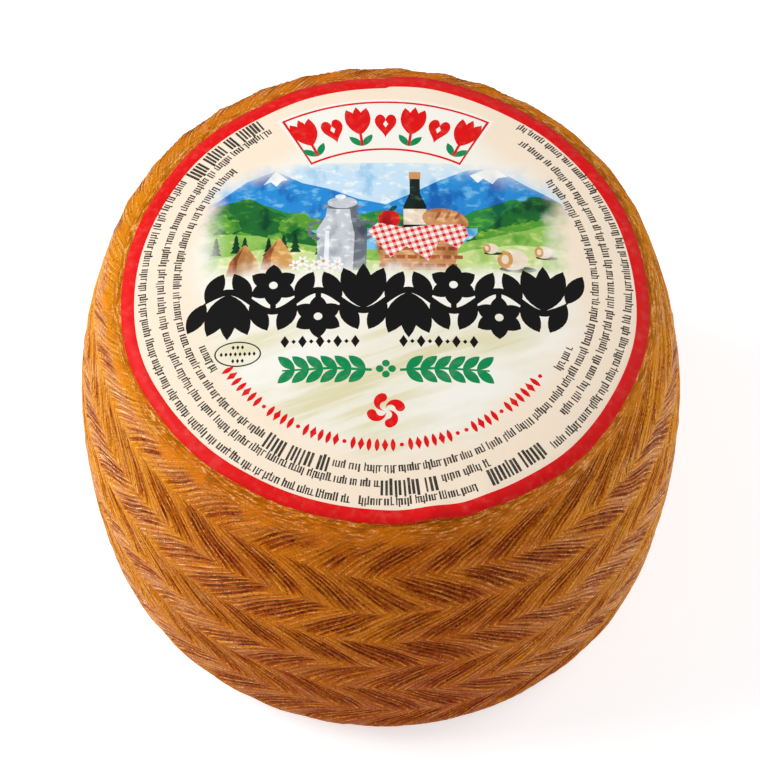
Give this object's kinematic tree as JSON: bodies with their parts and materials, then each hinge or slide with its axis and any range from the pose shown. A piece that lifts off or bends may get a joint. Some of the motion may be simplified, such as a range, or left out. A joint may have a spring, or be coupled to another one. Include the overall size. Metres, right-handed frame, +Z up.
{
  "type": "cheese wheel",
  "caption": "Small uncut wheel of pressed sheep's milk cheese with a plaited rind, bulging sides, a domed crown and a round paper label on top.",
  "frame": {"origin": "middle of the flat foot that the wheel stands on", "axes": "+Z up through the crown; the label reads upright for someone on the -Y side, with +X to their right"},
  "size_m": [0.1098, 0.1101, 0.0774],
  "materials": {
    "rind": "amber-brown cheese rind with plaited mould marks, darker in the hollows and slightly waxy",
    "label_paper": "coated paper printed with a red rim, a cream field and a coloured design"
  },
  "bodies": {
    "root": {"cheese_wheel": "rind", "label": "label_paper"}
  },
  "joints": []
}
